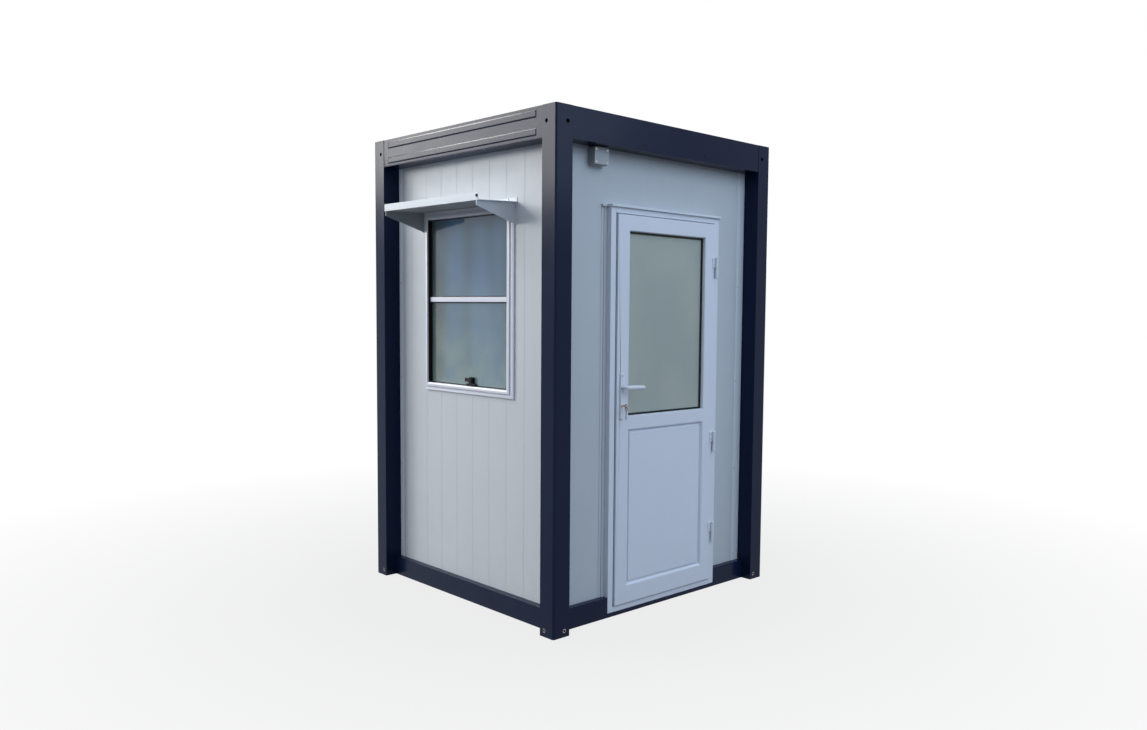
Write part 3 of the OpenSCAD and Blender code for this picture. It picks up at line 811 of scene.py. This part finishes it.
def lever_stations():
    """(out, along, drop, half height, half thickness, heading) from the plate to the tip."""
    rows = [
        (LEVER_START, 0, 0, NECK_R, NECK_R, 0),
        (neck_out, 0, 0, NECK_END_R, NECK_END_R, 0),
    ]
    for k in range(1, BEND_STEPS + 1):
        share = k / BEND_STEPS
        heading = math.pi / 2 * share
        out = neck_out + LEVER_BEND * math.sin(heading)
        along = LEVER_BEND * (1 - math.cos(heading))
        half_h = NECK_END_R + share * (GRIP_HALF_H - NECK_END_R)
        half_t = NECK_END_R + share * (GRIP_HALF_T - NECK_END_R)
        rows.append((out, along, 0, half_h, half_t, heading))
    for k in range(1, GRIP_STEPS + 1):
        share = k / GRIP_STEPS
        out = LEVER_OUT - TIP_IN * share**3
        along = LEVER_BEND + share * (lever_len - LEVER_BEND)
        end = max(0.0, (share - TIP_FROM) / (1 - TIP_FROM))
        taper = math.sqrt(max(TIP_LEAST, 1 - end * end))
        half_h = GRIP_HALF_H * taper * (1 - GRIP_NARROWS * share)
        rows.append((out, along, LEVER_DROOP * share**2, half_h, GRIP_HALF_T * taper, math.pi / 2))
    return rows


bm = bmesh.new()
for base, sign in ((plate_hi.x, 1), (plate_lo.x, -1)):
    loops = []
    for out, along, drop, half_h, half_t, heading in lever_stations():
        loop = []
        for t in turns(SECTION_POINTS):
            across = half_t * math.cos(t)
            x = base + sign * (out - across * math.sin(heading))
            y = spindle_y + along + across * math.cos(heading)
            loop.append(bm.verts.new((x, y, spindle_z - drop + half_h * math.sin(t))))
        loops.append(loop)
    loft(bm, loops)
piece("lever_grips", bm, "handle", "handle_white", replaces=["door_lever"])

# Keys: one in the lock and one hanging from it on a ring
KEY_T = 0.0022
KEY_APART = 0.0002
KEY_DROP = 0.0165
BOW_R = 0.011
BOW_EDGE = 0.0006
BOW_HOLE = 0.0045
BOW_LAP = 0.001
BLADE_HALF = 0.0035
BLADE_TIP_U, BLADE_TIP_UP = 0.0008, 0.004
KEY_CUTS = 5
CUT_START = 0.006
CUT_PITCH = 0.005
CUT_US = (0.0009, 0.0018)
CUT_FROM, CUT_TO, CUT_END = 0.0012, 0.0026, 0.0038
key_x = key_hi.x - BOW_R
key_y = (key_lo.y + key_hi.y) / 2


def in_key_plane(u, v, d):
    """Out of the lock, up, and across the keys."""
    return Vector((key_x + u, key_y + d, lock_z + v))


def key_bow(bm, u, v, d):
    """Round head of a key with its hole."""
    rim = [
        (BOW_HOLE, d), (BOW_R - BOW_EDGE, d), (BOW_R, d + KEY_T / 2),
        (BOW_R - BOW_EDGE, d + KEY_T), (BOW_HOLE, d + KEY_T),
    ]
    add_turned(bm, in_key_plane, u, v, rim, closed=True, segments=FINE)


bm = bmesh.new()
key_bow(bm, 0, 0, -KEY_T)
shank_u = (lock_hi.x - key_x, BOW_LAP - BOW_R)
add_box(bm, in_key_plane, shank_u, (-BLADE_HALF, BLADE_HALF), (-KEY_T, 0))
key_bow(bm, 0, -KEY_DROP, KEY_APART)
top = BOW_LAP - BOW_R - KEY_DROP
tip = key_lo.z - lock_z
tip_edge = [(BLADE_TIP_U, tip), (BLADE_HALF, tip + BLADE_TIP_UP)]
blade = [(-BLADE_HALF, top), (-BLADE_HALF, tip), *tip_edge]
for k in range(KEY_CUTS):
    u = CUT_US[k % 2]
    v = tip + CUT_START + k * CUT_PITCH
    blade += [(BLADE_HALF, v), (u, v + CUT_FROM), (u, v + CUT_TO), (BLADE_HALF, v + CUT_END)]
blade.append((BLADE_HALF, top))
add_prism(bm, in_key_plane, blade, (KEY_APART, KEY_APART + KEY_T))

# Ring through both keys, in the same piece
RING_R = 0.0085
RING_WIRE = 0.0009
RING_STEPS = 32
WIRE_STEPS = 8
RING_ALONG = Vector((0.35, 0.94, 0))
RING_ACROSS = Vector((0.94, -0.35, 0))
ring_middle = Vector((key_x, key_y, lock_z - KEY_DROP / 2))
loops = []
for a in turns(RING_STEPS):
    spoke = RING_R * (math.cos(a) * RING_ALONG + Vector((0, 0, math.sin(a))))
    radial = spoke.normalized()
    wire = [math.cos(b) * radial + math.sin(b) * RING_ACROSS for b in turns(WIRE_STEPS)]
    loops.append([bm.verts.new(ring_middle + spoke + RING_WIRE * way) for way in wire])
bridge(bm, loops, closed=True)
piece("key_set", bm, "door", "key_steel", replaces=["door_keys"])

# Hinges: screws on the leaves and caps on the barrels
HINGE_ZS = (0.325, 0.835, 1.800)
HINGE_HALF = 0.055
HINGE_SCREW = screw(0.0036, 0.0016)
HINGE_SCREW_IN = 0.009
HINGE_SCREW_SHARES = (0.27, 0.77)
BARREL_CAP = rivet(0.00816, 0.003)
FLAG_T = 0.005
AXIS_X, AXIS_Y = 0.757, 0.4005


def about_pin(u, v, d):
    """Across the hinge pins, and up along them."""
    return Vector((AXIS_X + u, AXIS_Y + v, d))


leaf_screws, frame_screws = bmesh.new(), bmesh.new()
leaf_caps, frame_caps = bmesh.new(), bmesh.new()
leaf_head = raised(HINGE_SCREW, leaf_out + FLAG_T)
frame_head = raised(HINGE_SCREW, jamb_hi.x - wall_x + FLAG_T)
leaf_screw_y = flag_lo.y + HINGE_SCREW_IN
frame_screw_y = foot_hi.y - HINGE_SCREW_IN
for z in HINGE_ZS:
    for share in HINGE_SCREW_SHARES:
        add_turned(leaf_screws, on_right, leaf_screw_y, z + share * HINGE_HALF, leaf_head)
        add_turned(frame_screws, on_right, frame_screw_y, z - share * HINGE_HALF, frame_head)
    add_turned(leaf_caps, about_pin, 0, 0, outward(BARREL_CAP, z + HINGE_HALF, 1))
    add_turned(frame_caps, about_pin, 0, 0, outward(BARREL_CAP, z - HINGE_HALF, -1))
piece("leaf_hinge_screws", leaf_screws, "door", "lock_steel")
piece("frame_hinge_screws", frame_screws, "booth", "lock_steel")
piece("leaf_hinge_caps", leaf_caps, "door", "hinge_white")
piece("frame_hinge_caps", frame_caps, "booth", "hinge_white")

# Junction box: lid screws
BOX_SCREW = screw(0.0042, 0.0015)
BOX_SCREW_IN = 0.014
box_head = raised(BOX_SCREW, box_hi.x - wall_x)
bm = bmesh.new()
for y in (box_lo.y + BOX_SCREW_IN, box_hi.y - BOX_SCREW_IN):
    for z in (box_lo.z + BOX_SCREW_IN, box_hi.z - BOX_SCREW_IN):
        add_turned(bm, on_right, y, z, box_head)
piece("box_screws", bm, "booth", "lock_steel")

# Roof ribs: a middle one and some on each side of it
RIB_PITCH = 0.205
RIB_H = 0.018
RIB_FOOT = 0.022
RIB_TOP = 0.011
RIBS_EACH_SIDE = 3


def along_roof(u, v, d):
    """Section through the roof: across it, up, and along it."""
    return Vector((u, d, roof_hi.z + v))


bm = bmesh.new()
for k in range(-RIBS_EACH_SIDE, RIBS_EACH_SIDE + 1):
    u = k * RIB_PITCH
    outline = [(u - RIB_FOOT, 0), (u - RIB_TOP, RIB_H), (u + RIB_TOP, RIB_H), (u + RIB_FOOT, 0)]
    add_prism(bm, along_roof, outline, (roof_lo.y, roof_hi.y))
piece("roof_ribs", bm, "booth", "roof_sheet", edge=0.002)

# Zinc nuts set in the lower fixing holes
FIX_IN = 0.070
FIX_LOW = 0.030
NUT_R = 0.0096
NUT_BORE_R = 0.0062
NUT_MOUTH_R = 0.0070
NUT_BACK = 0.012
NUT_SUNK = 0.001
nut = [(NUT_BORE_R, -NUT_BACK), (NUT_R, -NUT_BACK), (NUT_R, -NUT_SUNK), (NUT_MOUTH_R, -NUT_SUNK)]
foot_nut = raised(nut, post_hi.x - wall_x)
nut_u = post_hi.x - FIX_IN
bm = bmesh.new()
for sign in (-1, 1):
    for place in (on_right, on_left, on_front, on_back):
        add_turned(bm, place, sign * nut_u, FIX_LOW, foot_nut, closed=True, segments=24)
piece("foot_nuts", bm, "booth", "lock_steel")

# Screws of the door-side beam
BEAM_SCREW = screw(0.006, 0.002)
BEAM_SCREW_YS = (-0.217, 0.242)
BEAM_SCREW_Z = 2.38
bm = bmesh.new()
for y in BEAM_SCREW_YS:
    add_turned(bm, on_right, y, BEAM_SCREW_Z, raised(BEAM_SCREW, beam_hi.x - wall_x))
piece("beam_screws", bm, "booth", "black_plastic")


# Backdrop
def sees_backdrop(tree):
    """1 for camera, mirror and glass rays, which see the backdrop, and 0 for the rest."""
    path = tree.nodes.new("ShaderNodeLightPath")
    seen = path.outputs["Is Camera Ray"]
    for kind in ("Is Glossy Ray", "Is Transmission Ray"):
        either = tree.nodes.new("ShaderNodeMath")
        either.operation = "MAXIMUM"
        tree.links.new(seen, either.inputs[0])
        tree.links.new(path.outputs[kind], either.inputs[1])
        seen = either.outputs[0]
    return seen


# Floor
FLOOR_R = 7.0
FADE_FROM = 1.2
FADE_TO = 4.5
NEAR_WHITE = 0.82
FLOOR_TONE = (0.12, 0.12, 0.12, 1)
bm = bmesh.new()
bmesh.ops.create_circle(bm, cap_ends=True, segments=128, radius=FLOOR_R)
floor_mesh = bpy.data.meshes.new("floor")
bm.to_mesh(floor_mesh)
bm.free()
floor = bpy.data.objects.new("floor", floor_mesh)
scene.collection.objects.link(floor)
floor_finish = Finish("pale_floor", roughness=0.9, base_color=FLOOR_TONE, specular_ior_level=0.1)
length = floor_finish.add("ShaderNodeVectorMath", operation="LENGTH")
floor_finish.link(floor_finish.coords, length.inputs[0])
fade = floor_finish.spread(length.outputs["Value"], FADE_FROM, FADE_TO, NEAR_WHITE, 1)
seen = sees_backdrop(floor_finish.tree)
white = floor_finish.add("ShaderNodeEmission")
blend = floor_finish.add("ShaderNodeMixShader")
floor_finish.link(floor_finish.times(fade, seen), blend.inputs["Fac"])
floor_finish.link(floor_finish.shader.outputs["BSDF"], blend.inputs[1])
floor_finish.link(white.outputs["Emission"], blend.inputs[2])
surface = floor_finish.tree.nodes["Material Output"].inputs["Surface"]
floor_finish.link(blend.outputs["Shader"], surface)
floor_mesh.materials.append(floor_finish.material)

# World: a dim soft surround that lights the part, white where the camera sees it
world = bpy.data.worlds.new("studio")
world.use_nodes = True
scene.world = world
tree = world.node_tree
surround = tree.nodes["Background"]
coords = tree.nodes.new("ShaderNodeTexCoord")
split = tree.nodes.new("ShaderNodeSeparateXYZ")
tree.links.new(coords.outputs["Generated"], split.inputs["Vector"])
ramp = tree.nodes.new("ShaderNodeValToRGB")
tree.links.new(split.outputs["Z"], ramp.inputs["Fac"])
HORIZON_TONE = (0.04, 0.05, 0.08, 1)
ZENITH_TONE = (0.94, 1.06, 1.24, 1)
HORIZON_AT, ZENITH_AT = 0.25, 0.85
ramp.color_ramp.elements[0].color = HORIZON_TONE
ramp.color_ramp.elements[0].position = HORIZON_AT
ramp.color_ramp.elements[1].color = ZENITH_TONE
ramp.color_ramp.elements[1].position = ZENITH_AT
tree.links.new(ramp.outputs["Color"], surround.inputs["Color"])
backdrop = tree.nodes.new("ShaderNodeBackground")
blend = tree.nodes.new("ShaderNodeMixShader")
tree.links.new(sees_backdrop(tree), blend.inputs["Fac"])
tree.links.new(surround.outputs["Background"], blend.inputs[1])
tree.links.new(backdrop.outputs["Background"], blend.inputs[2])
backdrop.inputs["Color"].default_value = (1, 1, 1, 1)
tree.links.new(blend.outputs["Shader"], tree.nodes["World Output"].inputs["Surface"])


# Lamps
def soft_lamp(name, place, aim, size, power, colour):
    """Large rectangular lamp that looks at a point."""
    lamp = bpy.data.lights.new(name, "AREA")
    lamp.shape = "RECTANGLE"
    lamp.size, lamp.size_y = size
    lamp.energy = power
    lamp.color = colour
    obj = bpy.data.objects.new(name, lamp)
    obj.location = place
    obj.rotation_euler = (Vector(aim) - Vector(place)).to_track_quat("-Z", "Y").to_euler()
    scene.collection.objects.link(obj)


soft_lamp("key", (-7.6, -7.7, 4.75), (0, 0, 1.3), (6.9, 2.8), 650, (1.0, 0.98, 0.95))
soft_lamp("front", (0.5, -7.0, 3.4), (0, 0, 1.2), (4.5, 2.6), 50, (0.86, 0.95, 1.0))
soft_lamp("top", (-6.5, -3.6, 6.2), (0, -0.8, 2.4), (2.6, 1.2), 250, (1.0, 0.98, 0.95))
soft_lamp("fill", (6.2, 1.6, 4.7), (0.5, 0, 1.2), (6.0, 4.2), 200, (0.62, 0.80, 1.0))
soft_lamp("back", (-1.5, 8.0, 3.6), (0, 0, 1.2), (5.0, 3.0), 260, (0.92, 0.97, 1.0))

# Camera, fitted to the photograph of 1147 by 730 pixels
IMAGE_W, IMAGE_H = 1147, 730
SENSOR_MM = 36
FOCAL_PX = 947.75
AXIS_PX = (635.88, 379.04)
CAMERA_AT = (4.1458, -3.6427, 1.5572)
AZIMUTH, ELEVATION, ROLL = (math.radians(a) for a in (44.7461, 4.1093, -0.6911))
camera_data = bpy.data.cameras.new("camera")
camera_data.sensor_width = SENSOR_MM
camera_data.lens = FOCAL_PX / IMAGE_W * SENSOR_MM
camera_data.shift_x = (IMAGE_W / 2 - AXIS_PX[0]) / IMAGE_W
camera_data.shift_y = (AXIS_PX[1] - IMAGE_H / 2) / IMAGE_W
level = math.cos(ELEVATION)
back = Vector((math.sin(AZIMUTH) * level, -math.cos(AZIMUTH) * level, math.sin(ELEVATION)))
right = Vector((0, 0, 1)).cross(back).normalized()
up = back.cross(right)
rolled_right = math.cos(ROLL) * right - math.sin(ROLL) * up
rolled_up = math.sin(ROLL) * right + math.cos(ROLL) * up
camera = bpy.data.objects.new("camera", camera_data)
turned = Matrix((rolled_right, rolled_up, back)).transposed().to_4x4()
camera.matrix_world = Matrix.Translation(CAMERA_AT) @ turned
scene.collection.objects.link(camera)
scene.camera = camera
